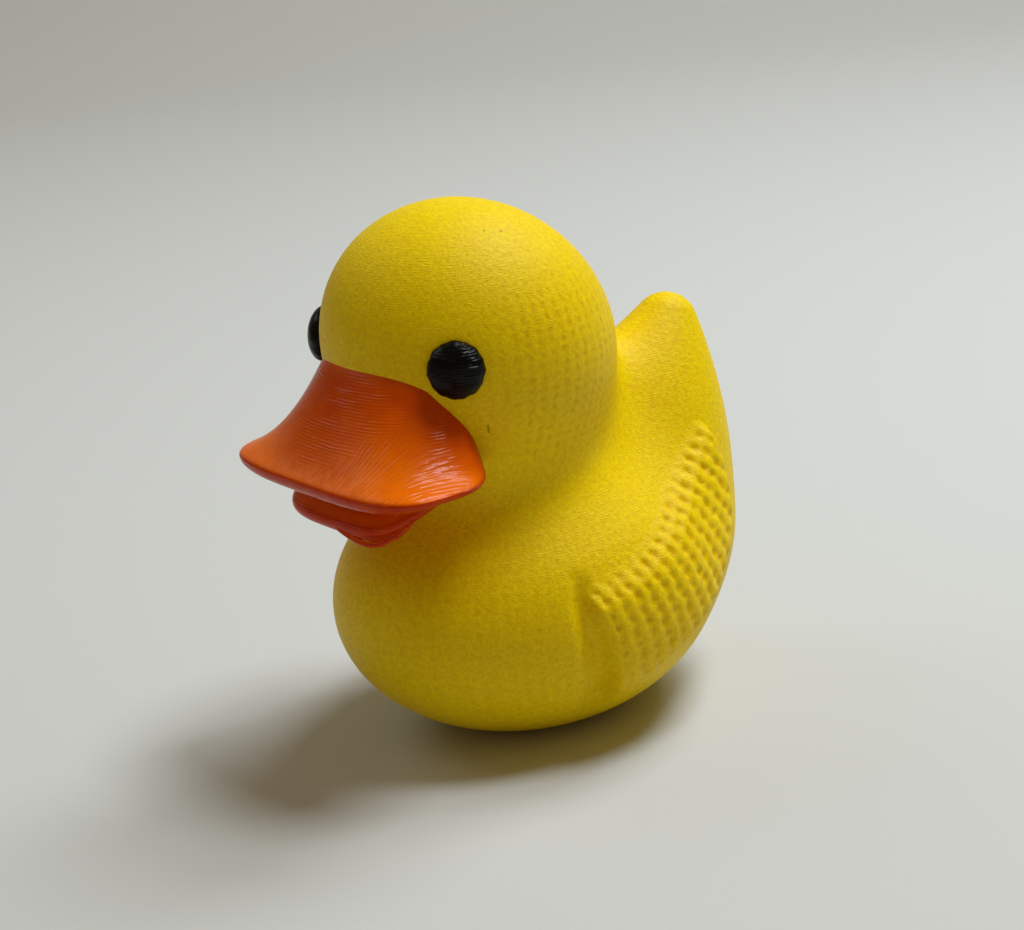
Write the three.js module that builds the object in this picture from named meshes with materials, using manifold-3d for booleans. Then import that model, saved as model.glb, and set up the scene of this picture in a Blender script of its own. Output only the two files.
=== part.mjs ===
// Small toy duck with a knitted look: a yellow body with ribbed wings, an orange bill and two black eyes.
// Millimetres, +Z up. The duck faces -Y, its left side is +X, and the origin is on its flat base.
import * as THREE from 'three';
import { ParametricGeometry } from 'three/addons/geometries/ParametricGeometry.js';
import { mergeVertices } from 'three/addons/utils/BufferGeometryUtils.js';
import Module from 'manifold-3d';

// Hull: an ellipsoid with its own length before and behind its widest section, cut flat underneath.
const hullWidth = 32.8;
const hullHeight = 26.6;
const hullFrontLength = 19.2;
const hullRearLength = 18.8;
const hullCentreY = 0.8;
const baseCut = 0.7;

// Head: an egg whose long axis points up and forwards. It stands on the hull and sits a little forward.
const headWidth = 26.6;
const headLongAxis = 27.6;
const headShortAxis = 25.0;
const headTilt = 41.5;
const headForward = 4.4;
const headRise = 10.9;
const neckBlend = 9.0;

// Tail: a row of balls that rises from the back of the hull and thins to a round tip.
// Fullness above 1 makes its sides bulge.
const tailRootBehind = 12.7;
const tailRootAbove = 4.0;
const tailRootRadius = 9.8;
const tailBack = 6.0;
const tailRise = 16.3;
const tailTipRadius = 3.1;
const tailFullness = 1.42;
const tailBlend = 5.0;

// Wings: leaves on the hull's sides, with columns of stitches that fan out from a point over the breast.
// Reaches are distances from that point. The lower edge fades out and climbs to the upper one at the rear.
const wingFanAhead = 18.8;
const wingFanAbove = 49.4;
const wingFanTurn = 29.7;
const wingColumns = 18;
const columnPitch = 1.5;
const stitchPitch = 1.35;
const wingTopReachFront = 46.8;
const wingTopReachRear = 49.4;
const wingBottomReach = 59.8;
const wingClimb = 9.4;
const wingLift = 0.9;
const wingEdge = 1.8;
const wingFade = 2.2;
const wingSink = 0.8;
const knitDepth = 0.45;

// Bill: two rounded leaves that meet at the back of the mouth.
// The upper one is blunt in front and climbs the face.
const billWidth = 27.8;
const billLength = 15.2;
const billForward = 12.0;
const billDrop = 8.4;
const billThickness = 1.8;
const billBluntness = 3.6;
const billCrown = 13.7;
const billFlare = 1.8;
const billRootHeight = 9.6;
const billSlopeStart = 6.1;
const billSlopePower = 1.4;
const lowerWidth = 16.6;
const lowerLength = 12.6;
const lowerThickness = 2.4;
const lowerSetback = 2.4;
const mouthOpening = 2.0;
const mouthDepth = 6.5;
const rimRoundness = 8;

// Eyes: domed discs with a short plug, on the sides of the face.
const eyeWidth = 5.0;
const eyeHeight = 5.1;
const eyeDome = 1.45;
const eyeAside = 48.8;
const eyeAbove = 4.5;

// Seats: how deep the bill and the eyes sit in the head, and the gap around them.
const billSeat = 1.6;
const eyeSeat = 1.5;
const clearance = 0.3;

// How finely the round forms are divided.
const sectionSides = 48;
const headSections = 13;
const hullSections = 30;
const tailSections = 9;
const tailBallCount = 24;
const leafSides = 36;
const leafRings = 16;
const eyeSides = 28;
const samplesPerColumn = 4;
const samplesPerStitch = 2;

const radians = THREE.MathUtils.degToRad;
const hullCentre = new THREE.Vector3(0, hullCentreY, hullHeight / 2 - baseCut);
const hullTop = hullCentre.z + hullHeight / 2;
const headCentre = new THREE.Vector3(0, hullCentre.y - headForward, hullTop + headRise);
const tailRoot = new THREE.Vector3(0, hullCentre.y + tailRootBehind, hullCentre.z + tailRootAbove);
const tailTip = new THREE.Vector3(0, tailRoot.y + tailBack, tailRoot.z + tailRise);
const tailBalls = Array.from({ length: tailBallCount }, (_, i) => {
  const along = i / (tailBallCount - 1);
  const radius = THREE.MathUtils.lerp(tailRootRadius, tailTipRadius, along ** tailFullness);
  return { centre: tailRoot.clone().lerp(tailTip, along), radius };
});
const hullFrontRadii = new THREE.Vector3(hullWidth, 2 * hullFrontLength, hullHeight).multiplyScalar(0.5);
const hullRearRadii = new THREE.Vector3(hullWidth, 2 * hullRearLength, hullHeight).multiplyScalar(0.5);
const headRadii = new THREE.Vector3(headWidth, headLongAxis, headShortAxis).multiplyScalar(0.5);
const sideways = new THREE.Vector3(1, 0, 0);
const reach = hullFrontLength + hullRearLength + hullHeight + headLongAxis;
const stride = 1.0;

const wasm = await Module();
wasm.setup();

// A closed geometry as a solid: seam and pole points are merged, and triangles that a pole flattens go.
function solid(geometry) {
  geometry.deleteAttribute('normal');
  geometry.deleteAttribute('uv');
  const merged = mergeVertices(geometry, 1e-5);
  const corners = merged.index.array;
  const kept = [];
  for (let i = 0; i < corners.length; i += 3) {
    const [a, b, c] = corners.slice(i, i + 3);
    if (a !== b && b !== c && c !== a) {
      kept.push(a, b, c);
    }
  }
  const vertProperties = new Float32Array(merged.getAttribute('position').array);
  return new wasm.Manifold(new wasm.Mesh({ numProp: 3, vertProperties, triVerts: new Uint32Array(kept) }));
}

// A solid as a named mesh in its own colour of plastic.
function printed(form, name, color, roughness) {
  const { vertProperties, triVerts } = form.getMesh();
  const geometry = new THREE.BufferGeometry();
  geometry.setAttribute('position', new THREE.BufferAttribute(vertProperties, 3));
  geometry.setIndex(new THREE.BufferAttribute(triVerts, 1));
  geometry.computeVertexNormals();
  const mesh = new THREE.Mesh(geometry, new THREE.MeshStandardMaterial({ color, roughness, metalness: 0 }));
  mesh.name = name;
  return mesh;
}

// About how far a point lies outside an ellipsoid about the origin, negative inside.
function outsideEllipsoid(point, radii) {
  const scaled = point.clone().divide(radii);
  const size = scaled.length();
  return size * (size - 1) / Math.max(scaled.divide(radii).length(), 1e-9);
}

// Two distances joined into one, with a rounded valley where the two forms meet.
function blended(a, b, width) {
  const overlap = Math.max(width - Math.abs(a - b), 0) / width;
  return Math.min(a, b) - overlap * overlap * width / 4;
}

// How far a point lies outside the tail, which is the least distance outside any of its balls.
function outsideTail(point) {
  return Math.min(...tailBalls.map(({ centre, radius }) => point.distanceTo(centre) - radius));
}

// How far a point lies outside the whole body, without wings or base.
function outsideBody(point) {
  const fromHull = point.clone().sub(hullCentre);
  const hull = outsideEllipsoid(fromHull, fromHull.y < 0 ? hullFrontRadii : hullRearRadii);
  const fromHead = point.clone().sub(headCentre).applyAxisAngle(sideways, radians(headTilt));
  const head = outsideEllipsoid(fromHead, headRadii);
  return blended(blended(hull, outsideTail(point), tailBlend), head, neckBlend);
}

// The last value between one that is met and one that isn't.
function lastMet(met, inside, outside) {
  let low = inside;
  let high = outside;
  for (let step = 0; step < 40; step++) {
    const middle = (low + high) / 2;
    if (met(middle)) {
      low = middle;
    } else {
      high = middle;
    }
  }
  return low;
}

// Where a ray first leaves the body, shrunk by a depth: found in strides, then by halving the last stride.
function surfaceAlong(start, direction, depth = 0) {
  const point = new THREE.Vector3();
  const inside = (distance) => outsideBody(point.copy(start).addScaledVector(direction, distance)) < -depth;
  let distance = 0;
  while (inside(distance + stride)) {
    distance += stride;
  }
  const exit = lastMet(inside, distance, distance + stride);
  return point.copy(start).addScaledVector(direction, exit);
}

// The middle of the stretch that a ray in the mirror plane has inside the body, or null where it misses.
function middleAlong(start, direction, depth) {
  const point = new THREE.Vector3();
  const inside = (distance) => outsideBody(point.copy(start).addScaledVector(direction, distance)) < -depth;
  let entry = 0;
  while (!inside(entry)) {
    entry += stride / 4;
    if (entry > reach) {
      return null;
    }
  }
  let exit = entry;
  while (inside(exit + stride / 4)) {
    exit += stride / 4;
  }
  return start.clone().addScaledVector(direction, (entry + exit) / 2);
}

// The notch over the back: the point farthest outside the body on the line from the head to the tail's tip.
function notchOverBack() {
  const steps = 200;
  let notch = headCentre;
  for (let step = 1; step < steps; step++) {
    const point = headCentre.clone().lerp(tailTip, step / steps);
    if (outsideBody(point) > outsideBody(notch)) {
      notch = point;
    }
  }
  return notch;
}

// The body's skin at a depth: level sections down the head, then sections fanned about the notch to the tail.
function bodyForm(depth = 0) {
  const notch = notchOverBack();
  const forwards = new THREE.Vector3(0, -1, 0);
  const fanned = (turn) => forwards.clone().applyAxisAngle(sideways, turn);
  const levelHits = (z) => middleAlong(new THREE.Vector3(0, notch.y, z), forwards, depth) !== null;
  const fanHits = (turn) => middleAlong(notch, fanned(turn), depth) !== null;
  const crown = lastMet(levelHits, headCentre.z, headCentre.z + reach);
  const lastTurn = lastMet(fanHits, radians(90), radians(240));
  const tailTurn = 0.8 * lastTurn;
  const sections = [];
  for (let i = 0; i < headSections; i++) {
    const z = notch.z + (crown - notch.z) * Math.cos(Math.PI / 2 * i / headSections);
    sections.push({ start: new THREE.Vector3(0, notch.y, z), direction: forwards });
  }
  for (let i = 0; i < hullSections; i++) {
    sections.push({ start: notch, direction: fanned(tailTurn * i / hullSections) });
  }
  for (let i = 0; i <= tailSections; i++) {
    const left = (1 - i / tailSections) ** 2;
    sections.push({ start: notch, direction: fanned(lastTurn - (lastTurn - tailTurn) * left) });
  }
  const centres = sections.map(({ start, direction }) => middleAlong(start, direction, depth));
  const last = sections.length - 1;
  const point = (u, v, target) => {
    const i = Math.round(v * last);
    target.copy(centres[i]);
    if (i > 0 && i < last) {
      const angle = -2 * Math.PI * Math.round(u * sectionSides) / sectionSides;
      const outwards = sections[i].direction.clone().multiplyScalar(Math.cos(angle));
      outwards.addScaledVector(sideways, Math.sin(angle));
      target.copy(surfaceAlong(centres[i], outwards, depth));
    }
    if (Math.round(u * sectionSides) === sectionSides) {
      point(0, v, target);
    }
  };
  return solid(new ParametricGeometry(point, sectionSides, last));
}

// How far the wing's face stands off the hull: lifted where it swells, with ribs of stitches, sunk outside.
function wingRise(column, radius, swell) {
  const groove = Math.sin(Math.PI * column) ** 2;
  const pit = 0.5 + 0.5 * Math.cos(2 * Math.PI * radius / stitchPitch);
  return wingLift * swell - wingSink * (1 - swell) - knitDepth * swell * groove * (0.4 + 0.6 * pit);
}

// A wing as a plate over the hull's side, sunk all round. Side is 1 for the duck's left, -1 for its right.
function wing(side) {
  const middleReach = (wingTopReachFront + wingBottomReach) / 2;
  const stitches = Math.round((wingBottomReach - wingTopReachFront) / stitchPitch);
  const steps = [wingColumns * samplesPerColumn, stitches * samplesPerStitch];
  const plate = new THREE.BoxGeometry(2, wingColumns, 1, 1, ...steps);
  const place = plate.getAttribute('position');
  for (let i = 0; i < place.count; i++) {
    const outer = side * place.getX(i) > 0;
    const column = place.getY(i);
    const rearwards = 2 * column / wingColumns;
    const top = THREE.MathUtils.lerp(wingTopReachFront, wingTopReachRear, (1 + rearwards) / 2);
    const bottom = wingBottomReach - wingClimb * Math.max(rearwards, 0) ** 3;
    const radius = THREE.MathUtils.lerp(bottom, top, place.getZ(i) + 0.5);
    const turn = radians(wingFanTurn) + column * columnPitch / middleReach;
    const y = hullCentre.y - wingFanAhead + radius * Math.sin(turn);
    const z = hullCentre.z + wingFanAbove - radius * Math.cos(turn);
    const fromEnds = (1 - Math.abs(rearwards)) * columnPitch * wingColumns / 2;
    const rooms = [fromEnds / wingEdge, (radius - top) / wingEdge, (bottom - radius) / wingFade];
    const lacking = Math.hypot(...rooms.map((room) => Math.max(1 - room, 0)));
    const swell = THREE.MathUtils.smoothstep(1 - lacking, 0, 1);
    const skin = surfaceAlong(new THREE.Vector3(0, y, z), sideways).x;
    const x = outer ? skin + wingRise(column, radius, swell) : skin - 2 * wingSink;
    place.setXYZ(i, side * x, y, z);
  }
  return solid(plate);
}

// A leaf of the bill, grown by a gap: a cushion with a round rim, from a pole on top to one below.
// Its plan is an ellipse behind and squarer in front. A crown makes its top climb backwards, a bell across.
function billLeaf({ width, length, thickness, centre, slope, crown }, grow) {
  const halfWidth = width / 2;
  const halfLength = length / 2;
  const powered = (value, power) => Math.sign(value) * Math.abs(value) ** power;
  const face = (u, v, target) => {
    const turn = 2 * Math.PI * u;
    const outwards = Math.sin(Math.PI * v);
    const power = Math.cos(turn) > 0 ? 2 / billBluntness : 1;
    const aside = outwards * powered(Math.sin(turn), power);
    const ahead = outwards * powered(Math.cos(turn), power);
    const plump = Math.sqrt(Math.max(1 - outwards ** rimRoundness, 0));
    const past = Math.max((1 + ahead) * halfLength - billSlopeStart, 0);
    const down = past / (length - billSlopeStart);
    const bell = Math.max(1 - aside ** 2, 0) ** billFlare * (1 - outwards ** rimRoundness);
    const climb = Math.min(crown * bell * Math.max(1 - down, 0) ** billSlopePower, billRootHeight);
    const lift = plump * (thickness / 2 + grow);
    const push = grow * Math.min(outwards * leafRings, 1);
    target.set(-halfWidth * aside, -halfLength * ahead, slope * ahead * halfLength).add(centre);
    target.x -= push * Math.sin(turn);
    target.y -= push * Math.cos(turn);
    target.z += v < 0.5 ? lift + climb : -lift;
  };
  return solid(new ParametricGeometry(face, leafSides, leafRings));
}

// Both leaves of the bill, joined at the back. The lower one falls away from the upper one to open the mouth.
function billForm(grow = 0) {
  const upperCentre = new THREE.Vector3(0, headCentre.y - billForward, headCentre.z - billDrop);
  const lowerY = upperCentre.y - billLength / 2 + lowerSetback + lowerLength / 2;
  const lowerSlope = -mouthOpening / mouthDepth;
  const lowerTipZ = upperCentre.z - billThickness / 2 - mouthOpening - lowerThickness / 2;
  const upper = {
    width: billWidth,
    length: billLength,
    thickness: billThickness,
    centre: upperCentre,
    slope: 0,
    crown: billCrown,
  };
  const lower = {
    width: lowerWidth,
    length: lowerLength,
    thickness: lowerThickness,
    centre: new THREE.Vector3(0, lowerY, lowerTipZ - lowerSlope * lowerLength / 2),
    slope: lowerSlope,
    crown: 0,
  };
  return billLeaf(upper, grow).add(billLeaf(lower, grow));
}

// An eye in its place, grown by a gap: a plug with a domed top, pointing away from the head's centre.
function eyeForm(side, grow = 0) {
  const aside = radians(eyeAside);
  const above = radians(eyeAbove);
  const outwards = new THREE.Vector3(0, -Math.cos(above), Math.sin(above));
  outwards.applyAxisAngle(new THREE.Vector3(0, 0, 1), side * aside);
  const centre = surfaceAlong(headCentre, outwards);
  const profile = [new THREE.Vector2(0, -eyeSeat - grow), new THREE.Vector2(1, -eyeSeat - grow)];
  const domeSteps = 6;
  for (let i = 0; i <= domeSteps; i++) {
    const turn = Math.PI / 2 * i / domeSteps;
    profile.push(new THREE.Vector2(Math.cos(turn), (eyeDome + grow) * Math.sin(turn)));
  }
  profile[profile.length - 1].x = 0;
  const lathe = new THREE.LatheGeometry(profile, eyeSides);
  lathe.scale(eyeWidth / 2 + grow, 1, eyeHeight / 2 + grow);
  const upright = new THREE.Vector3(0, 0, 1);
  const level = new THREE.Vector3().crossVectors(outwards, upright).normalize();
  const raised = new THREE.Vector3().crossVectors(level, outwards);
  const facing = new THREE.Matrix4().makeBasis(level, outwards, raised);
  lathe.applyMatrix4(facing.setPosition(centre));
  return solid(lathe);
}

// The ground below the base, wider than the duck.
function ground() {
  const block = new THREE.BoxGeometry(reach, reach, reach);
  block.translate(0, 0, -reach / 2);
  return solid(block);
}

const eyePockets = eyeForm(1, clearance).add(eyeForm(-1, clearance));
const bill = billForm().subtract(bodyForm(billSeat)).subtract(eyePockets);
const billPocket = billForm(clearance).subtract(bodyForm(billSeat + clearance));
const whole = bodyForm().add(wing(1)).add(wing(-1)).subtract(ground());
const body = whole.subtract(billPocket).subtract(eyePockets);

const duck = new THREE.Group();
duck.name = 'duck';
duck.add(
  printed(body, 'body', 0xf0cc00, 0.5),
  printed(bill, 'beak', 0xe8610c, 0.45),
  printed(eyeForm(1), 'eye_left', 0x101012, 0.4),
  printed(eyeForm(-1), 'eye_right', 0x101012, 0.4),
);

export default duck;
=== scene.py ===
import bpy
import numpy as np
from mathutils import Matrix, Vector


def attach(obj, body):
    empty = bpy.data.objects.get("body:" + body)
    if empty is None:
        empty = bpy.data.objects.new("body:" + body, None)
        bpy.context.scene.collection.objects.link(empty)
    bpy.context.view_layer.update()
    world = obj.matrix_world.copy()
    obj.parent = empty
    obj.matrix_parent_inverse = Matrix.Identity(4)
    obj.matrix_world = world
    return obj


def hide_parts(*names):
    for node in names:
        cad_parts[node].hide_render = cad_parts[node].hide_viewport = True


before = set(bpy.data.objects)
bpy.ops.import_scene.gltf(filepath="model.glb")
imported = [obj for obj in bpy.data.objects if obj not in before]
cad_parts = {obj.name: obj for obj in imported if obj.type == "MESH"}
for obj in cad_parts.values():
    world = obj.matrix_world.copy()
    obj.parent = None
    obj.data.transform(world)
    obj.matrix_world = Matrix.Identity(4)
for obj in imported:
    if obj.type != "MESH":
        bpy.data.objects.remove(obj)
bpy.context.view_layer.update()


# Body: head, neck, hull, upturned tail and raised wings, one print in yellow PLA on its flat base.
# It was laid down in 0.2 mm layers, and the knit is a relief in its skin: cords side by side, with a pit
# between each pair at every stitch, deep on the wings, where the columns fan out, and faint elsewhere.
HULL_CENTRE = np.array([0, 0.8, 12.6])
HULL_FRONT = np.array([16.4, 19.2, 13.3])
HULL_REAR = np.array([16.4, 18.8, 13.3])
HEAD_CENTRE = np.array([0, -3.6, 36.8])
HEAD_RADII = np.array([13.3, 13.8, 12.5])
HEAD_TILT = np.radians(41.5)
TAIL_ROOT = np.array([0, 13.5, 16.6])
TAIL_TIP = np.array([0, 19.5, 32.9])
TAIL_ROOT_RADIUS, TAIL_TIP_RADIUS, TAIL_FULLNESS, TAIL_BALLS = 9.8, 3.1, 1.42, 24
NECK_BLEND, TAIL_BLEND = 9.0, 5.0
MM_PER_M, TINY = 1000, 1e-9


def outside_ellipsoid(points, radii):
    """About how far points lie outside an ellipsoid about the origin: with q the point over the radii,
    the length of q times itself less one, over the length of q over the radii again."""
    scaled = points / radii
    size = np.linalg.norm(scaled, axis=-1)
    return size * (size - 1) / np.maximum(np.linalg.norm(scaled / radii, axis=-1), TINY)


def blended(a, b, width):
    """Two distances joined into one: the lesser, less a parabola as wide as the blend where they meet."""
    overlap = np.maximum(width - np.abs(a - b), 0) / width
    return np.minimum(a, b) - overlap ** 2 * width / 4


def outside_body(points):
    """How far points lie outside the plain body: hull, tail and tilted head, blended one after the other.
    The tail is the least distance outside a row of balls that thins with a power of the way along it."""
    from_hull = points - HULL_CENTRE
    radii = np.where(from_hull[..., 1:2] < 0, HULL_FRONT, HULL_REAR)
    hull = outside_ellipsoid(from_hull, radii)
    tail = np.full(points.shape[:-1], np.inf)
    for along in np.linspace(0, 1, TAIL_BALLS):
        centre = TAIL_ROOT + along * (TAIL_TIP - TAIL_ROOT)
        radius = TAIL_ROOT_RADIUS + (TAIL_TIP_RADIUS - TAIL_ROOT_RADIUS) * along ** TAIL_FULLNESS
        tail = np.minimum(tail, np.linalg.norm(points - centre, axis=-1) - radius)
    x, y, z = np.moveaxis(points - HEAD_CENTRE, -1, 0)
    ahead = y * np.cos(HEAD_TILT) - z * np.sin(HEAD_TILT)
    above = y * np.sin(HEAD_TILT) + z * np.cos(HEAD_TILT)
    head = outside_ellipsoid(np.stack([x, ahead, above], -1), HEAD_RADII)
    return blended(blended(hull, tail, TAIL_BLEND), head, NECK_BLEND)


def leaves_body(start, direction, stride=1.0, strides=40, halvings=16):
    """Distance from inner points along rays to the body's skin: strides to the first one outside,
    then the last stride is halved over and over."""
    near = np.zeros(np.broadcast_shapes(start.shape, direction.shape)[:-1])
    inside = np.ones(near.shape, bool)
    for step in range(1, strides):
        inside &= outside_body(start + direction * (step * stride)) < 0
        near = np.where(inside, step * stride, near)
    far = near + stride
    for _ in range(halvings):
        middle = (near + far) / 2
        within = outside_body(start + direction * middle[..., None]) < 0
        near, far = np.where(within, middle, near), np.where(within, far, middle)
    return near


BODY_SIDES, HEAD_RINGS, HULL_RINGS, TAIL_RINGS = 320, 56, 210, 30
CROWN_REACH, CHORD_REACH, TAIL_TURNS = 16, 70, (90, 240)
NOTCH_TRIES, CROWN_TRIES, TAIL_TRIES, CHORD_TRIES = 401, 801, 1201, 701
TAIL_START, CROWDING = 0.8, 0.4


def body_chords(starts, directions):
    """Whether each ray in the mirror plane meets the body, and the middle of its first stretch inside."""
    way = np.linspace(0, CHORD_REACH, CHORD_TRIES)
    within = outside_body(starts[:, None] + way[None, :, None] * directions[:, None]) < 0
    first = np.argmax(within, axis=1)
    gone = (np.arange(len(way)) > first[:, None]) & ~within
    last = np.maximum(np.argmax(gone, axis=1) - 1, 0)
    return within.any(1), starts + directions * ((way[first] + way[last]) / 2)[:, None]


def fan_rays(turn):
    """Directions in the mirror plane, by their turn from straight ahead downwards."""
    return np.stack([0 * turn, -np.cos(turn), -np.sin(turn)], -1)


def body_rings():
    """Rings of the body's skin. Level planes cut the head from its crown to the height of the notch over the
    back, then half-planes fan out about the notch, from straight ahead, round under the hull, to the tail's
    tip. A sine crowds the rings, and the points of each ring, together on the wings."""
    line = HEAD_CENTRE + np.linspace(0, 1, NOTCH_TRIES)[:, None] * (TAIL_TIP - HEAD_CENTRE)
    notch = line[np.argmax(outside_body(line))]
    heights = np.linspace(HEAD_CENTRE[2], HEAD_CENTRE[2] + CROWN_REACH, CROWN_TRIES)
    turns = np.radians(np.linspace(*TAIL_TURNS, TAIL_TRIES))
    ahead = np.array([0, -1.0, 0])
    masts = np.stack([0 * heights, 0 * heights + notch[1], heights], -1)
    crown = heights[body_chords(masts, np.tile(ahead, (len(heights), 1)))[0]].max()
    last = turns[body_chords(np.tile(notch, (len(turns), 1)), fan_rays(turns))[0]].max()
    tail_turn = TAIL_START * last
    rise = np.cos(np.pi / 2 * np.arange(HEAD_RINGS) / HEAD_RINGS)
    level = np.stack([0 * rise, 0 * rise + notch[1], notch[2] + (crown - notch[2]) * rise], -1)
    share = np.arange(HULL_RINGS) / HULL_RINGS
    share = share + CROWDING * np.sin(2 * np.pi * share) / (2 * np.pi)
    left = (1 - np.arange(TAIL_RINGS + 1) / TAIL_RINGS) ** 2
    turn = np.r_[tail_turn * share, last - (last - tail_turn) * left]
    starts = np.r_[level, np.tile(notch, (len(turn), 1))]
    directions = np.r_[np.tile(ahead, (HEAD_RINGS, 1)), fan_rays(turn)]
    centres = body_chords(starts, directions)[1]
    angle = 2 * np.pi * np.arange(BODY_SIDES) / BODY_SIDES
    angle = angle + CROWDING * np.sin(2 * angle) / 2
    rays = directions[:, None] * np.cos(angle)[:, None] - np.array([1, 0, 0]) * np.sin(angle)[:, None]
    rings = centres[:, None] + rays * leaves_body(centres[:, None], rays)[..., None]
    return rings[1:-1], centres[0], centres[-1]


def smooth(zero_at, one_at, value):
    """0 at the first value and before it, 1 at the second and past it, whichever of them is the higher, and
    between them the cubic that starts and ends level. The named pairs handed to it are such values."""
    share = np.clip((value - zero_at) / (one_at - zero_at), 0, 1)
    return share * share * (3 - 2 * share)


WING_BEADS, FAINT_BEADS, PIT_POWER = 0.33, 0.45, 3
STITCH_SHIFT, SHIFT_WAVES = 0.05, ((1.9, 2.3, 0), (-1.3, 2.9, 2))
STITCH_WEAKER, WEAKER_WAVES = 0.2, ((2.2, -1.7), (0.7, 1.1))


def stitch_pits(columns, rows, beads):
    """Depth of a knit from 0 on its cords to 1 in its pits: a power of the size of a sine across the columns,
    which goes full depth once in every row and is twice the beads' share shallower between rows."""
    return np.abs(np.sin(np.pi * columns)) ** PIT_POWER * (1 - beads + beads * np.cos(2 * np.pi * rows))


def uneven(columns, rows, share):
    """A knit as columns, rows and share, where sines shift its stitches and make some of them weaker.
    Each sine runs across columns and rows together, at rates of its own."""
    shift = sum(STITCH_SHIFT * np.sin(across * columns + along * rows + start)
                for across, along, start in SHIFT_WAVES)
    one, other = [np.sin(across * columns + along * rows) for across, along in WEAKER_WAVES]
    weaker = 1 - STITCH_WEAKER + STITCH_WEAKER * one * other
    return np.stack([columns + shift, rows - shift, share * weaker], -1)


FAN_CENTRE = np.array([-18.0, 62.0])
FAN_TURN, WING_COLUMNS, COLUMN_PITCH, WING_STITCH = np.radians(29.7), 18, 1.5, 1.2
WING_TOP_FRONT, WING_TOP_REAR, WING_BOTTOM, WING_CLIMB = 46.8, 49.4, 59.8, 9.4
WING_LIFT, WING_EDGE, WING_SHOULDER, WING_FADE = 0.9, 1.8, 3.0, 2.2
WING_SIDEWAYS, KNIT_EDGE, KNIT_REAR = (0.15, 0.4), (0.15, 0.75), (0.93, 0.72)
CREASE_DEPTH, CREASE_WIDTH, CREASE_AHEAD, CREASE_CURL, CURL_REACH = 0.8, 0.6, 0.3, 1.2, 2
CREASE_TOP = WING_TOP_FRONT - 1.5, WING_TOP_FRONT + 1.5
CREASE_FOOT = WING_BOTTOM + 2, WING_BOTTOM - 1
FOLD_DEPTH, FOLD_TOP, FOLD_REAR = 0.8, (49, 53), (-7.8, -8.5)


def wing_relief(points, normals):
    """How far the wings lift the skin, with a crease and a fold ahead of them that sink it, and their knit as
    columns, rows and share. In side view a wing is a fan about a point over the breast: columns count its
    angle, rows its radius. The crease is a bell across the columns that curls back at its top."""
    back = points[:, 1] - FAN_CENTRE[0]
    down = FAN_CENTRE[1] - points[:, 2]
    radius = np.hypot(back, down)
    middle_reach = (WING_TOP_FRONT + WING_BOTTOM) / 2
    columns = (np.arctan2(back, down) - FAN_TURN) * middle_reach / COLUMN_PITCH
    rearwards = 2 * columns / WING_COLUMNS
    top = WING_TOP_FRONT + (WING_TOP_REAR - WING_TOP_FRONT) * (1 + rearwards) / 2
    bottom = WING_BOTTOM - WING_CLIMB * np.maximum(rearwards, 0) ** 3
    ends = (1 - np.abs(rearwards)) * COLUMN_PITCH * WING_COLUMNS / 2
    below_top, above_bottom = radius - top, (bottom - radius) / WING_FADE
    on_side = smooth(*WING_SIDEWAYS, np.abs(normals[:, 0]))
    rooms = [np.stack([ends / WING_EDGE, below_top / top_edge, above_bottom])
             for top_edge in (WING_SHOULDER, WING_EDGE)]
    swell, knitted = [on_side * smooth(0, 1, 1 - np.linalg.norm(np.maximum(1 - room, 0), axis=0))
                      for room in rooms]
    curl = CREASE_CURL * np.exp(-np.maximum(radius - WING_TOP_FRONT, 0) / CURL_REACH)
    before = curl - CREASE_AHEAD - WING_COLUMNS / 2
    beside = on_side * smooth(*CREASE_TOP, radius) * smooth(*CREASE_FOOT, radius)
    crease = beside * np.exp(-((columns - before) / CREASE_WIDTH) ** 2)
    fold = beside * smooth(before, before + CREASE_WIDTH, columns) * smooth(*FOLD_REAR, columns)
    lift = WING_LIFT * swell - CREASE_DEPTH * crease - FOLD_DEPTH * fold * smooth(*FOLD_TOP, radius)
    share = smooth(*KNIT_EDGE, knitted) * smooth(*KNIT_REAR, rearwards)
    return lift, uneven(columns, radius / WING_STITCH, share)


HEAD_COLUMNS, HULL_COLUMNS, FAINT_STITCH = 68, 82, 1.0
HEAD_KNIT_REACH, HEAD_KNIT_FACE = (17.5, 15), (0.85, 1.5)
HEAD_KNIT_FOOT, HEAD_KNIT_TOP = (25, 30), (46, 41)
HULL_KNIT_FOOT, HULL_KNIT_TOP = (1.5, 5), (25, 18)


def faint_relief(points, wing_share):
    """The faint knits of head and hull as columns, rows and share: columns are a fixed share of a turn about
    an upright axis, counted from the front on both sides alike, and rows go by height."""
    x, y, z = points.T
    rows = z / FAINT_STITCH
    head_turn = np.abs(np.arctan2(x, HEAD_CENTRE[1] - y))
    hull_turn = np.abs(np.arctan2(x, HULL_CENTRE[1] - y))
    near_head = smooth(*HEAD_KNIT_REACH, np.linalg.norm(points - HEAD_CENTRE, axis=1))
    on_head = near_head * smooth(*HEAD_KNIT_FOOT, z) * smooth(*HEAD_KNIT_TOP, z)
    on_head = on_head * smooth(*HEAD_KNIT_FACE, head_turn)
    on_hull = smooth(*HULL_KNIT_TOP, z) * smooth(*HULL_KNIT_FOOT, z) * (1 - wing_share)
    head = uneven(HEAD_COLUMNS * head_turn / (2 * np.pi), rows, on_head)
    hull = uneven(HULL_COLUMNS * hull_turn / (2 * np.pi), rows, on_hull)
    return head, hull


WING_PIT, HEAD_PIT, HULL_PIT, SLOPE_STEP = 0.28, 0.03, 0.015, 0.02


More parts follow.
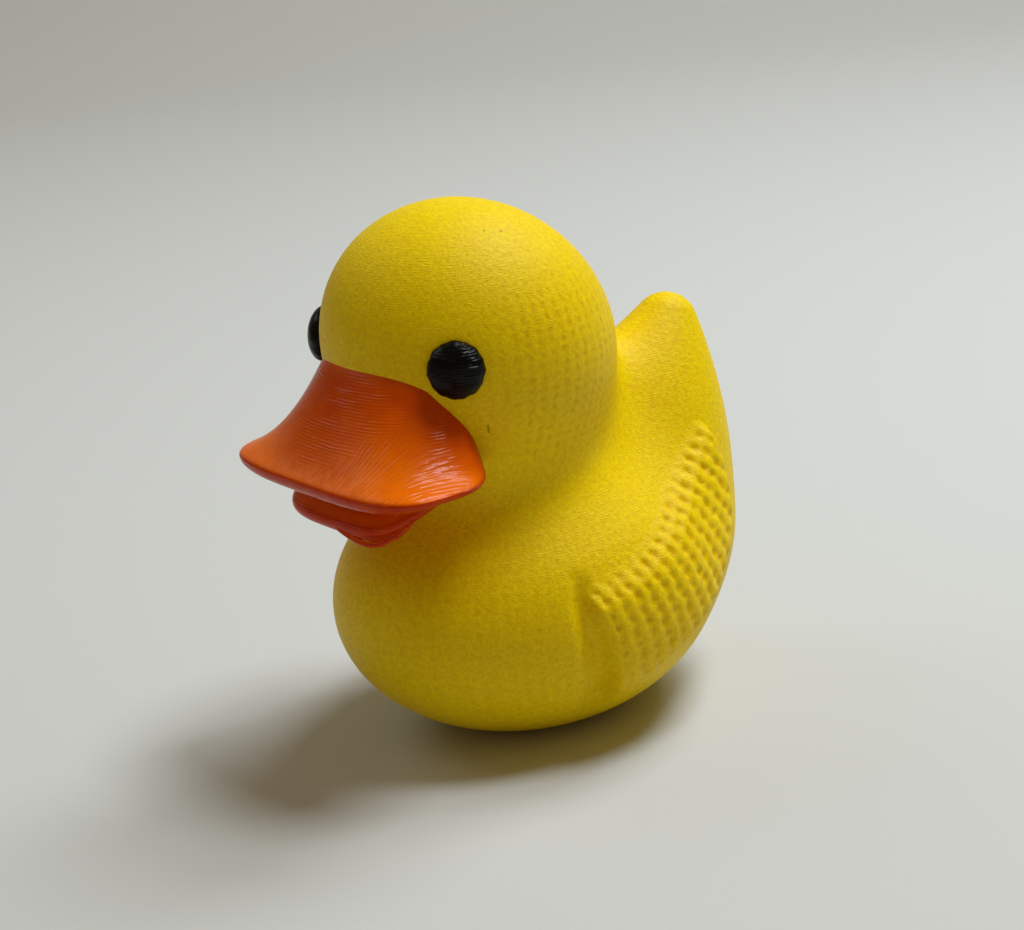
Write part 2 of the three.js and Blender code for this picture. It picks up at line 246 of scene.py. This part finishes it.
def knit_body():
    """The body's skin moved along its normals, out by the wings' lift and in by the pits of its three knits,
    and flattened at the base. The knits come along, by name, for the material."""
    rings, crown, tail = body_rings()
    flat = np.r_[crown[None], rings.reshape(-1, 3), tail[None]]
    steps = np.eye(3) * SLOPE_STEP
    slope = np.stack([outside_body(flat + step) - outside_body(flat - step) for step in steps], -1)
    normals = slope / np.linalg.norm(slope, axis=-1)[:, None]
    lift, wing = wing_relief(flat, normals)
    head, hull = faint_relief(flat, wing[:, 2])
    knits = ((WING_PIT, wing, WING_BEADS), (HEAD_PIT, head, FAINT_BEADS), (HULL_PIT, hull, FAINT_BEADS))
    for depth, knit, beads in knits:
        lift = lift - depth * knit[:, 2] * stitch_pits(knit[:, 0], knit[:, 1], beads)
    moved = flat + normals * lift[:, None]
    moved[:, 2] = np.maximum(moved[:, 2], 0)
    return moved, rings.shape[:2], {"wing_knit": wing, "head_knit": head, "hull_knit": hull}


def smooth_piece(name, points, faces):
    """A piece at the origin with smooth faces between points in metres."""
    mesh = bpy.data.meshes.new(name)
    mesh.from_pydata(points.tolist(), [], faces)
    mesh.polygons.foreach_set("use_smooth", np.ones(len(mesh.polygons), bool))
    mesh.update()
    piece = bpy.data.objects.new(name, mesh)
    bpy.context.scene.collection.objects.link(piece)
    return piece


def ringed_piece(name, points, shape):
    """A closed piece of rings of points in mm between a first and a last pole, faces outwards."""
    rings, sides = shape
    index = 1 + np.arange(rings * sides).reshape(shape)
    after = np.roll(index, -1, axis=1)
    quads = np.stack([index[:-1], after[:-1], after[1:], index[1:]], -1).reshape(-1, 4)
    top = np.stack([0 * index[0], after[0], index[0]], -1)
    bottom = np.stack([0 * index[0] + rings * sides + 1, index[-1], after[-1]], -1)
    return smooth_piece(name, points / MM_PER_M, top.tolist() + quads.tolist() + bottom.tolist())


def linear(hex_colour):
    """An sRGB hex colour as linear red, green, blue and a full alpha, by the curve of the sRGB standard."""
    srgb = np.array([int(hex_colour[i:i + 2], 16) for i in (1, 3, 5)]) / 255
    return (*np.where(srgb <= 0.04045, srgb / 12.92, ((srgb + 0.055) / 1.055) ** 2.4), 1.0)


def add_node(material, kind, *inputs, **settings):
    """One shader node. Its inputs fill its sockets in order. A setting is one of its properties, or fills the
    socket of that name or of the number after an i. A node given to a socket stands for its first output."""
    made = material.node_tree.nodes.new("ShaderNode" + kind)
    filled = dict(enumerate(inputs))
    for key, value in settings.items():
        if hasattr(made, key):
            setattr(made, key, value)
        else:
            filled[int(key[1:]) if key[1:].isdigit() else key.replace("_", " ")] = value
    for socket, value in filled.items():
        source = value.outputs[0] if isinstance(value, bpy.types.Node) else value
        if isinstance(source, bpy.types.NodeSocket):
            material.node_tree.links.new(source, made.inputs[socket])
        else:
            made.inputs[socket].default_value = source
    return made


def new_material(name):
    """An empty material and its object coordinates."""
    material = bpy.data.materials.new(name)
    material.use_nodes = True
    material.node_tree.nodes.clear()
    return material, add_node(material, "TexCoord").outputs["Object"]


DASH_CONTRAST, DASH_SHIFT = 8.0, -3.6


def printed_layers(material, place, layer_mm, dash_mm, least):
    """Height, from 0 up, of the layers' edges: a sine of the height above the base, which noise drawn out
    along the layers makes stronger in dashes, never weaker than the least, and lets waver."""
    height = add_node(material, "SeparateXYZ", place).outputs["Z"]
    drawn = add_node(material, "Mapping", place,
                     Scale=(MM_PER_M / dash_mm, MM_PER_M / dash_mm, MM_PER_M / (2 * layer_mm)))
    dashes = add_node(material, "TexNoise", drawn, Scale=1.0, Detail=2.0).outputs["Fac"]
    strong = add_node(material, "Math", dashes, DASH_CONTRAST, DASH_SHIFT, operation="MULTIPLY_ADD")
    broken = add_node(material, "Math", strong, least, operation="MAXIMUM")
    turns = 2 * MM_PER_M * np.pi / layer_mm
    phase = add_node(material, "Math", height, turns, broken, operation="MULTIPLY_ADD")
    wave = add_node(material, "Math", phase, operation="SINE")
    return add_node(material, "Math", wave, broken, broken, operation="MULTIPLY_ADD")


def knit_pits(material, knit, beads):
    """Depth of a knit from 0 to 1, the same formula as the mesh has, times its share, from its columns, rows
    and share."""
    stored = add_node(material, "Attribute", attribute_name=knit).outputs["Vector"]
    columns, rows, share = add_node(material, "SeparateXYZ", stored).outputs
    half_turns = add_node(material, "Math", columns, np.pi, operation="MULTIPLY")
    across = add_node(material, "Math", half_turns, operation="SINE")
    size = add_node(material, "Math", across, operation="ABSOLUTE")
    between = add_node(material, "Math", size, PIT_POWER, operation="POWER")
    turns = add_node(material, "Math", rows, 2 * np.pi, operation="MULTIPLY")
    along = add_node(material, "Math", turns, operation="COSINE")
    beaded = add_node(material, "Math", along, beads, 1 - beads, operation="MULTIPLY_ADD")
    depth = add_node(material, "Math", between, beaded, operation="MULTIPLY")
    return add_node(material, "Math", depth, share, operation="MULTIPLY")


SPECK_ASIDE = np.radians(np.r_[73.3, 85.9, np.linspace(59.0, 59.3, 5)])
SPECK_ABOVE = np.radians(np.r_[58.8, 57.5, np.linspace(-20.1, -23.2, 5)])
SPECK_RADIUS, SPECK_SHADE = 0.16, 0.55


def head_ray(aside, above):
    """The direction from the head's centre at angles from straight ahead to the left and up from level."""
    return np.stack([np.sin(aside) * np.cos(above), -np.cos(aside) * np.cos(above), np.sin(above)], -1)


def specks():
    """Places in metres, on the skin, of two dark specks on the crown and of a short dash beside the bill,
    which is a row of specks."""
    rays = head_ray(SPECK_ASIDE, SPECK_ABOVE)
    return (HEAD_CENTRE + rays * leaves_body(HEAD_CENTRE[None], rays)[:, None]) / MM_PER_M


YELLOW, YELLOW_DEEP, SPECK_DARK = "#F8DE00", "#CE9000", "#3A2C00"
BODY_LAYER, BODY_GLINT, FLECKS_PER_MM, FLECK_CONTRAST = 0.2, 0.5, 2.6, 2.0
PIT_PAINTED_SHADE, FLECK_SHADE, HULL_FAINTNESS = 0.3, 0.58, 0.4
WING_BUMP, FAINT_BUMP, FLECK_BUMP, LAYER_BUMP = -0.07, -0.03, 0.04, 0.006


# PLA printed in yellow: saturated and satin, a little translucent; painted shade darkens its pits towards the
# deep yellow.
# The layers break its shine into short level glints, and a few specks of dirt sit on the head.
def yellow_pla():
    material, place = new_material("yellow_pla_print")
    wing = knit_pits(material, "wing_knit", WING_BEADS)
    head, hull = [knit_pits(material, knit, FAINT_BEADS) for knit in ("head_knit", "hull_knit")]
    faint = add_node(material, "Math", hull, HULL_FAINTNESS, head, operation="MULTIPLY_ADD")
    flecks = add_node(material, "TexNoise", place, Scale=FLECKS_PER_MM * MM_PER_M, Detail=4.0, Roughness=0.7)
    grain = add_node(material, "Math", flecks.outputs["Fac"], FLECK_CONTRAST, (1 - FLECK_CONTRAST) / 2,
                     operation="MULTIPLY_ADD")
    # Painted shade: the knits' pits are mixed towards the deep yellow by their depth, over a random grain of
    # tone.
    faint_painted_shade = add_node(material, "Math", faint, PIT_PAINTED_SHADE, operation="MULTIPLY")
    painted_pit_shade = add_node(material, "Math", wing, PIT_PAINTED_SHADE, faint_painted_shade, operation="MULTIPLY_ADD")
    grain_and_painted_shade = add_node(material, "Math", grain, FLECK_SHADE, painted_pit_shade, operation="MULTIPLY_ADD")
    colour = add_node(material, "Mix", grain_and_painted_shade, data_type="RGBA", i6=linear(YELLOW), i7=linear(YELLOW_DEEP))
    apart = [add_node(material, "VectorMath", place, speck, operation="DISTANCE").outputs["Value"]
             for speck in specks()]
    nearest = apart[0]
    for other in apart[1:]:
        nearest = add_node(material, "Math", nearest, other, operation="MINIMUM")
    dirt = add_node(material, "MapRange", nearest, SPECK_RADIUS / MM_PER_M, SPECK_RADIUS / (2 * MM_PER_M), 0,
                    SPECK_SHADE)
    soiled = add_node(material, "Mix", dirt, data_type="RGBA", i6=colour.outputs[2], i7=linear(SPECK_DARK))
    layers = printed_layers(material, place, BODY_LAYER, BODY_GLINT, least=0.0)
    faint_bump = add_node(material, "Math", faint, FAINT_BUMP, operation="MULTIPLY")
    knit_bump = add_node(material, "Math", wing, WING_BUMP, faint_bump, operation="MULTIPLY_ADD")
    rough = add_node(material, "Math", grain, FLECK_BUMP, knit_bump, operation="MULTIPLY_ADD")
    height = add_node(material, "Math", layers, LAYER_BUMP, rough, operation="MULTIPLY_ADD")
    bump = add_node(material, "Bump", Height=height, Strength=1.0, Distance=1 / MM_PER_M)
    shader = add_node(material, "BsdfPrincipled", Base_Color=soiled.outputs[2], Normal=bump, Roughness=0.45,
                      Specular_IOR_Level=0.1, Subsurface_Weight=0.1, Subsurface_Radius=(0.5, 0.35, 0.03),
                      Subsurface_Scale=1 / MM_PER_M)
    add_node(material, "OutputMaterial", Surface=shader)
    return material


body_points, body_shape, body_knits = knit_body()
body = ringed_piece("printed_body", body_points, body_shape)
for knit_name, knit in body_knits.items():
    stored_knit = body.data.attributes.new(knit_name, "FLOAT_VECTOR", "POINT")
    stored_knit.data.foreach_set("vector", knit.ravel())
body.data.materials.append(yellow_pla())
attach(body, "root")
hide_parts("body")


# Bill: two rounded leaves in orange PLA, printed with the head and fused to its face.
# The upper one is a broad blunt spoon that climbs the face, and the lower one hangs open under it.
# On steep faces the layers show as contours, on flat ones the last layer's slanting tool paths.
BILL_CENTRE = np.array([0, -15.6, 28.4])
BILL_HALF_WIDTH, BILL_HALF_LENGTH, BILL_THICKNESS, RIM_DROOP = 13.9, 7.6, 1.8, 0.6
BILL_BLUNTNESS, BILL_CROWN, BILL_FLARE, BILL_ROOT_HEIGHT, BILL_ROOT_BLEND = 3.6, 13.7, 1.8, 9.6, 3.0
BILL_SLOPE_START, BILL_SLOPE_POWER, RIM_ROUNDNESS = 6.1, 1.4, 8
LOWER_CENTRE = np.array([0, -14.5, 26.24])
LOWER_HALF_WIDTH, LOWER_HALF_LENGTH, LOWER_THICKNESS, LOWER_SLOPE = 8.3, 6.3, 2.4, -0.31
BILL_SIDES, BILL_RINGS = 288, 160


def bill_plan(turn):
    """The bill's outline seen from above, as shares of its half sizes aside and ahead:
    an ellipse behind and a blunter power curve ahead."""
    power = np.where(np.cos(turn) > 0, 2 / BILL_BLUNTNESS, 1)
    aside = np.sign(np.sin(turn)) * np.abs(np.sin(turn)) ** power
    ahead = np.sign(np.cos(turn)) * np.abs(np.cos(turn)) ** power
    return aside, ahead


def bill_leaf(centre, half_width, half_length, thickness, slope, crown, droop):
    """A cushion on the bill's plan from a pole on top to one below: its edge is round, its top climbs
    backwards by a power of the way from the front, as a bell across, and its underside droops ahead."""
    turn, way = np.meshgrid(2 * np.pi * np.arange(BILL_SIDES) / BILL_SIDES,
                            np.pi * np.arange(1, BILL_RINGS) / BILL_RINGS)
    out = np.sin(way)
    aside, ahead = out * np.array(bill_plan(turn))
    past = np.maximum((1 + ahead) * half_length - BILL_SLOPE_START, 0)
    down = past / (2 * half_length - BILL_SLOPE_START)
    bell = np.maximum(1 - aside ** 2, 0) ** BILL_FLARE * (1 - out ** RIM_ROUNDNESS)
    rise = crown * bell * np.maximum(1 - down, 0) ** BILL_SLOPE_POWER
    climb = blended(rise, BILL_ROOT_HEIGHT, BILL_ROOT_BLEND)
    plump = np.sqrt(np.maximum(1 - out ** RIM_ROUNDNESS, 0)) * thickness / 2
    lift = np.where(way < np.pi / 2, plump + climb, -plump * (1 + droop * smooth(0, 1, ahead)))
    level = slope * ahead * half_length
    rings = centre + np.stack([-half_width * aside, -half_length * ahead, level + lift], -1)
    top = centre + np.array([0, 0, thickness / 2 + min(crown, BILL_ROOT_HEIGHT)])
    bottom = centre - np.array([0, 0, thickness / 2])
    return np.r_[top[None], rings.reshape(-1, 3), bottom[None]], rings.shape[:2]


ORANGE, ORANGE_DEEP = "#FF7A00", "#B81E00"
BILL_LAYER, BILL_DASH, BILL_LEAST, BILL_BUMP = 0.25, 3.0, 0.35, 0.01
FLAT_FACES, PAINTED_LIGHT_FACES, CLOUDS_PER_MM, CLOUD_SHARE = (0.58, 0.7), (0.45, 0.8), 0.6, 0.3
PATH_TURN, PATH_WIDTH, STROKE_LENGTH, STROKE_HEIGHT = np.radians(80), 0.42, 1.2, 1.6
STROKE_CONTRAST, STROKE_SHIFT, STROKE_LEAST = 6.0, -2.2, 0.2


# PLA printed in orange: as the yellow, with more shine on the slanting tool paths of its flat faces.
# Its layers are drawn 0.25 mm high, a little coarser than the real 0.2 mm, so that they show.
def orange_pla():
    material, place = new_material("orange_pla_print")
    layers = printed_layers(material, place, BILL_LAYER, BILL_DASH, BILL_LEAST)
    normal = add_node(material, "NewGeometry").outputs["Normal"]
    facing = add_node(material, "SeparateXYZ", normal).outputs["Z"]
    # Painted light: faces that look up are mixed towards the paler orange, steep and downward ones towards
    # the deep orange.
    flat, level = [add_node(material, "MapRange", facing, *faces) for faces in (FLAT_FACES, PAINTED_LIGHT_FACES)]
    turned = add_node(material, "Mapping", place, vector_type="TEXTURE", Rotation=(0, 0, PATH_TURN),
                      Scale=(STROKE_LENGTH / MM_PER_M, PATH_WIDTH / MM_PER_M, STROKE_LENGTH / MM_PER_M))
    across = add_node(material, "SeparateXYZ", turned).outputs["Y"]
    strokes = add_node(material, "TexNoise", turned, Scale=1.0, Detail=2.0).outputs["Fac"]
    strong = add_node(material, "Math", strokes, STROKE_CONTRAST, STROKE_SHIFT, operation="MULTIPLY_ADD")
    broken = add_node(material, "Math", strong, STROKE_LEAST, operation="MAXIMUM")
    turns = add_node(material, "Math", across, 2 * np.pi, operation="MULTIPLY")
    paths = add_node(material, "Math", turns, operation="SINE")
    stroked = add_node(material, "Math", paths, broken, operation="MULTIPLY")
    raised = add_node(material, "Math", stroked, STROKE_HEIGHT, operation="MULTIPLY")
    relief = add_node(material, "Mix", flat, i2=layers, i3=raised)
    cloud = add_node(material, "TexNoise", place, Scale=CLOUDS_PER_MM * MM_PER_M, Detail=3.0).outputs["Fac"]
    clouded = add_node(material, "Math", cloud, CLOUD_SHARE, operation="MULTIPLY")
    # Painted light by facing, with random clouds of tone over it, chooses between deep and pale orange.
    clouds_and_painted_light = add_node(material, "Math", level, 1 - CLOUD_SHARE, clouded, operation="MULTIPLY_ADD")
    colour = add_node(material, "Mix", clouds_and_painted_light, data_type="RGBA", i6=linear(ORANGE_DEEP), i7=linear(ORANGE))
    height = add_node(material, "Math", relief, BILL_BUMP, operation="MULTIPLY")
    bump = add_node(material, "Bump", Height=height, Strength=1.0, Distance=1 / MM_PER_M)
    shader = add_node(material, "BsdfPrincipled", Base_Color=colour.outputs[2], Normal=bump, Roughness=0.23,
                      Specular_IOR_Level=0.14, Subsurface_Weight=0.06, Subsurface_Radius=(1.0, 0.2, 0.02),
                      Subsurface_Scale=1 / MM_PER_M)
    add_node(material, "OutputMaterial", Surface=shader)
    return material


orange = orange_pla()
upper_leaf = bill_leaf(BILL_CENTRE, BILL_HALF_WIDTH, BILL_HALF_LENGTH, BILL_THICKNESS,
                       slope=0, crown=BILL_CROWN, droop=RIM_DROOP)
lower_leaf = bill_leaf(LOWER_CENTRE, LOWER_HALF_WIDTH, LOWER_HALF_LENGTH, LOWER_THICKNESS,
                       slope=LOWER_SLOPE, crown=0, droop=0)
upper_bill = ringed_piece("printed_upper_bill", *upper_leaf)
lower_bill = ringed_piece("printed_lower_bill", *lower_leaf)
for leaf in (upper_bill, lower_bill):
    leaf.data.materials.append(orange)
    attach(leaf, "root")
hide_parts("beak")


# Strands: two extruded threads of the same orange PLA that sagged under the lower bill's left front corner,
# where the print had nothing below it. Their ends are fused to its underside.
STRAND_FROM, STRAND_TO = np.radians([356, 282])
STRAND_SECTIONS, STRAND_SIDES = 96, 16
OUTER_STRAND = {"share": 0.97, "radius": 0.27, "sag": 0.72, "skew": 0.85}
INNER_STRAND = {"share": 0.93, "radius": 0.42, "sag": 0.25, "skew": 2.0}


def sagging_strand(share, radius, sag, skew):
    """A tube along a share of the lower bill's plan, from the front round the left corner: it hangs below
    the underside by a half sine of the way along it, which a power pushes towards one end."""
    way = np.linspace(0, 1, STRAND_SECTIONS)
    aside, ahead = share * np.array(bill_plan(STRAND_FROM + (STRAND_TO - STRAND_FROM) * way))
    under = LOWER_THICKNESS / 2 * np.sqrt(1 - share ** RIM_ROUNDNESS)
    hang = LOWER_SLOPE * ahead * LOWER_HALF_LENGTH - under + radius
    hang = hang - (sag + radius) * np.sin(np.pi * way ** skew)
    path = LOWER_CENTRE + np.stack([-LOWER_HALF_WIDTH * aside, -LOWER_HALF_LENGTH * ahead, hang], -1)
    along = np.gradient(path, axis=0)
    along = along / np.linalg.norm(along, axis=1)[:, None]
    level = np.cross(along, [0, 0, 1.0])
    level = level / np.linalg.norm(level, axis=1)[:, None]
    raised = np.cross(level, along)
    turn = 2 * np.pi * np.arange(STRAND_SIDES) / STRAND_SIDES
    around = level[:, None] * np.cos(turn)[:, None] - raised[:, None] * np.sin(turn)[:, None]
    rings = path[:, None] + radius * around
    return np.r_[path[:1], rings.reshape(-1, 3), path[-1:]], rings.shape[:2]


for strand_name, strand in (("outer", OUTER_STRAND), ("inner", INNER_STRAND)):
    thread = ringed_piece("sagging_strand_" + strand_name, *sagging_strand(**strand))
    thread.data.materials.append(orange)
    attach(thread, "root")


# Eyes: two low domes in black PLA on the sides of the face, printed in with the head.
# Their edge is slightly toothed where the layers end, and the layers show as thin grey glints.
EYE_ASIDE, EYE_ABOVE = np.radians(48.8), np.radians(4.5)
EYE_HALF_WIDTH, EYE_HALF_HEIGHT, EYE_DOME, EYE_SEAT = 2.5, 2.55, 1.45, 1.5
EYE_SIDES, EYE_RINGS, DOME_END, WALL_END, CLOSING_START = 192, 64, 0.7, 0.95, 0.97
TOOTH_SIZE, TEETH_START, EYE_TEETH, EYE_WAVES, WAVE_PHASE = 0.01, 0.3, 15, 8, 1.5
BLACK, EYE_LAYER, EYE_GLINT, EYE_BUMP = "#020202", 0.25, 1.5, 0.02


def eye_dome(side):
    """A plug with a domed top about the ray from the head's centre: out along it by a quarter ellipse,
    then back down a straight wall to a flat end inside the head. Small waves make the edge toothed."""
    ray = head_ray(side * EYE_ASIDE, EYE_ABOVE)
    centre = HEAD_CENTRE + ray * leaves_body(HEAD_CENTRE[None], ray[None])
    level = np.cross(ray, [0, 0, 1.0])
    level = level / np.linalg.norm(level)
    raised = np.cross(level, ray)
    turn, way = np.meshgrid(2 * np.pi * np.arange(EYE_SIDES) / EYE_SIDES, np.arange(1, EYE_RINGS) / EYE_RINGS)
    dome = np.minimum(way / DOME_END, 1) * np.pi / 2
    waves = np.cos(EYE_TEETH * turn) + np.sin(WAVE_PHASE + EYE_WAVES * turn)
    teeth = 1 + TOOTH_SIZE * smooth(TEETH_START, DOME_END, way) * waves
    wide = np.sin(dome) * (1 - smooth(CLOSING_START, 1.0, way)) * teeth
    wall = -EYE_SEAT * smooth(DOME_END, WALL_END, way)
    out = np.where(way < DOME_END, EYE_DOME * np.cos(dome), wall)
    rings = (centre + ray * out[..., None] - level * (EYE_HALF_WIDTH * wide * np.sin(turn))[..., None]
             + raised * (EYE_HALF_HEIGHT * wide * np.cos(turn))[..., None])
    top, end = (centre + ray * EYE_DOME)[None], (centre - ray * EYE_SEAT)[None]
    return np.r_[top, rings.reshape(-1, 3), end], rings.shape[:2]


# PLA printed in black: deep and satin, so that only its layers' edges catch the light.
# They are drawn 0.25 mm high, a little coarser than the real 0.2 mm, so that they show.
def black_pla():
    material, place = new_material("black_pla_print")
    layers = printed_layers(material, place, EYE_LAYER, EYE_GLINT, least=0.0)
    height = add_node(material, "Math", layers, EYE_BUMP, operation="MULTIPLY")
    bump = add_node(material, "Bump", Height=height, Strength=1.0, Distance=1 / MM_PER_M)
    shader = add_node(material, "BsdfPrincipled", Base_Color=linear(BLACK), Normal=bump, Roughness=0.28,
                      Specular_IOR_Level=0.15)
    add_node(material, "OutputMaterial", Surface=shader)
    return material


black = black_pla()
for side, node in ((1, "eye_left"), (-1, "eye_right")):
    eye = ringed_piece("printed_" + node, *eye_dome(side))
    eye.data.materials.append(black)
    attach(eye, "root")
    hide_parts(node)


# Floor: a pale matte sheet that sweeps up behind the duck, as in a small photo studio.
# It is only the stage, and no piece of the duck.
SWEEP_BACK, SWEEP_RADIUS, SWEEP_WIDTH, SWEEP_FRONT, SWEEP_TOP = 0.35, 0.25, 3.0, -1.5, 2.0
SWEEP_AWAY, SWEEP_ASIDE, BEND_STEPS = np.array([-0.805, 0.593]), np.array([0.593, 0.805]), 33
PALE = "#C8C9C4"


def sweep_sheet():
    """A strip carried across the view: level to the bend, a quarter circle, then straight up, facing the
    camera."""
    bend = np.linspace(0, np.pi / 2, BEND_STEPS)
    run = np.r_[SWEEP_FRONT, SWEEP_BACK + SWEEP_RADIUS * np.sin(bend), SWEEP_BACK + SWEEP_RADIUS]
    rise = np.r_[0, SWEEP_RADIUS * (1 - np.cos(bend)), SWEEP_TOP]
    spread = np.array([-SWEEP_WIDTH, SWEEP_WIDTH]) / 2
    plan = run[:, None, None] * SWEEP_AWAY + spread[:, None] * SWEEP_ASIDE
    points = np.concatenate([plan, np.broadcast_to(rise[:, None, None], plan.shape[:2] + (1,))], -1)
    index = np.arange(2 * len(run)).reshape(-1, 2)
    faces = np.stack([index[:-1, 0], index[:-1, 1], index[1:, 1], index[1:, 0]], -1)
    return smooth_piece("pale_sweep", points.reshape(-1, 3), faces.tolist())


# Matte paper: an even pale grey with no shine, so that the duck's soft shadow reads on it.
def matte_paper():
    material, _ = new_material("matte_paper")
    shader = add_node(material, "BsdfPrincipled", Base_Color=linear(PALE), Roughness=0.9,
                      Specular_IOR_Level=0.1)
    add_node(material, "OutputMaterial", Surface=shader)
    return material


floor = sweep_sheet()
floor.data.materials.append(matte_paper())


# Light: a soft key from above and behind the tail, a second from high over the back's left side and a weak
# fill from the right front, all slightly cool, with a dim warm surround that turns the shade ochre.
# They leave the face and breast in half shade, as in the photograph.
SURROUND, SURROUND_STRENGTH, LAMP_COLOUR = "#FFE2A2", 0.214, "#F0F6FF"
LAMP_TARGET = np.array([0, 0, 0.02])


def soft_lamp(name, place, size, power):
    """A round area lamp at a place in metres, turned to face the target."""
    lamp = bpy.data.lights.new(name, "AREA")
    lamp.shape = "DISK"
    lamp.size = size
    lamp.energy = power
    lamp.color = linear(LAMP_COLOUR)[:3]
    made = bpy.data.objects.new(name, lamp)
    made.location = place
    made.rotation_euler = Vector(LAMP_TARGET - np.array(place)).to_track_quat("-Z", "Y").to_euler()
    bpy.context.scene.collection.objects.link(made)


soft_lamp("key_lamp", place=(-0.02, 0.30, 0.42), size=0.22, power=1.4)
soft_lamp("top_lamp", place=(0.12, 0.15, 0.50), size=0.18, power=1.6)
soft_lamp("fill_lamp", place=(-0.32, -0.16, 0.38), size=0.3, power=0.28)
world = bpy.data.worlds.new("pale_surround")
world.use_nodes = True
background = world.node_tree.nodes["Background"]
background.inputs["Color"].default_value = linear(SURROUND)
background.inputs["Strength"].default_value = SURROUND_STRENGTH
bpy.context.scene.world = world


# Camera: at the photograph's place and angle, with a long lens.
# Azimuth goes round from straight ahead of the duck towards its left side.
AZIMUTH, ELEVATION, ROLL = np.radians([53.633, 17.873, -5.172])
DISTANCE, FOCAL_PIXELS, PHOTO_WIDTH, SENSOR_WIDTH, CLIP_START = 0.252365, 2744.26, 1024, 36, 0.01
TARGET = np.array([0, 0, 0.024])
level_right = np.array([np.cos(AZIMUTH), np.sin(AZIMUTH), 0])
outwards = np.array([np.sin(AZIMUTH), -np.cos(AZIMUTH), 0])
backwards = outwards * np.cos(ELEVATION) + np.array([0, 0, np.sin(ELEVATION)])
level_up = np.cross(backwards, level_right)
right = level_right * np.cos(ROLL) + level_up * np.sin(ROLL)
up = level_up * np.cos(ROLL) - level_right * np.sin(ROLL)
lens = bpy.data.cameras.new("photo_camera")
lens.sensor_width = SENSOR_WIDTH
lens.lens = FOCAL_PIXELS / PHOTO_WIDTH * SENSOR_WIDTH
lens.clip_start = CLIP_START
camera = bpy.data.objects.new("photo_camera", lens)
turned = np.eye(4)
turned[:3, :3] = np.stack([right, up, backwards], 1)
turned[:3, 3] = TARGET + backwards * DISTANCE
camera.matrix_world = Matrix(turned.tolist())
bpy.context.scene.collection.objects.link(camera)
bpy.context.scene.camera = camera
bpy.context.scene.view_settings.view_transform = "Standard"
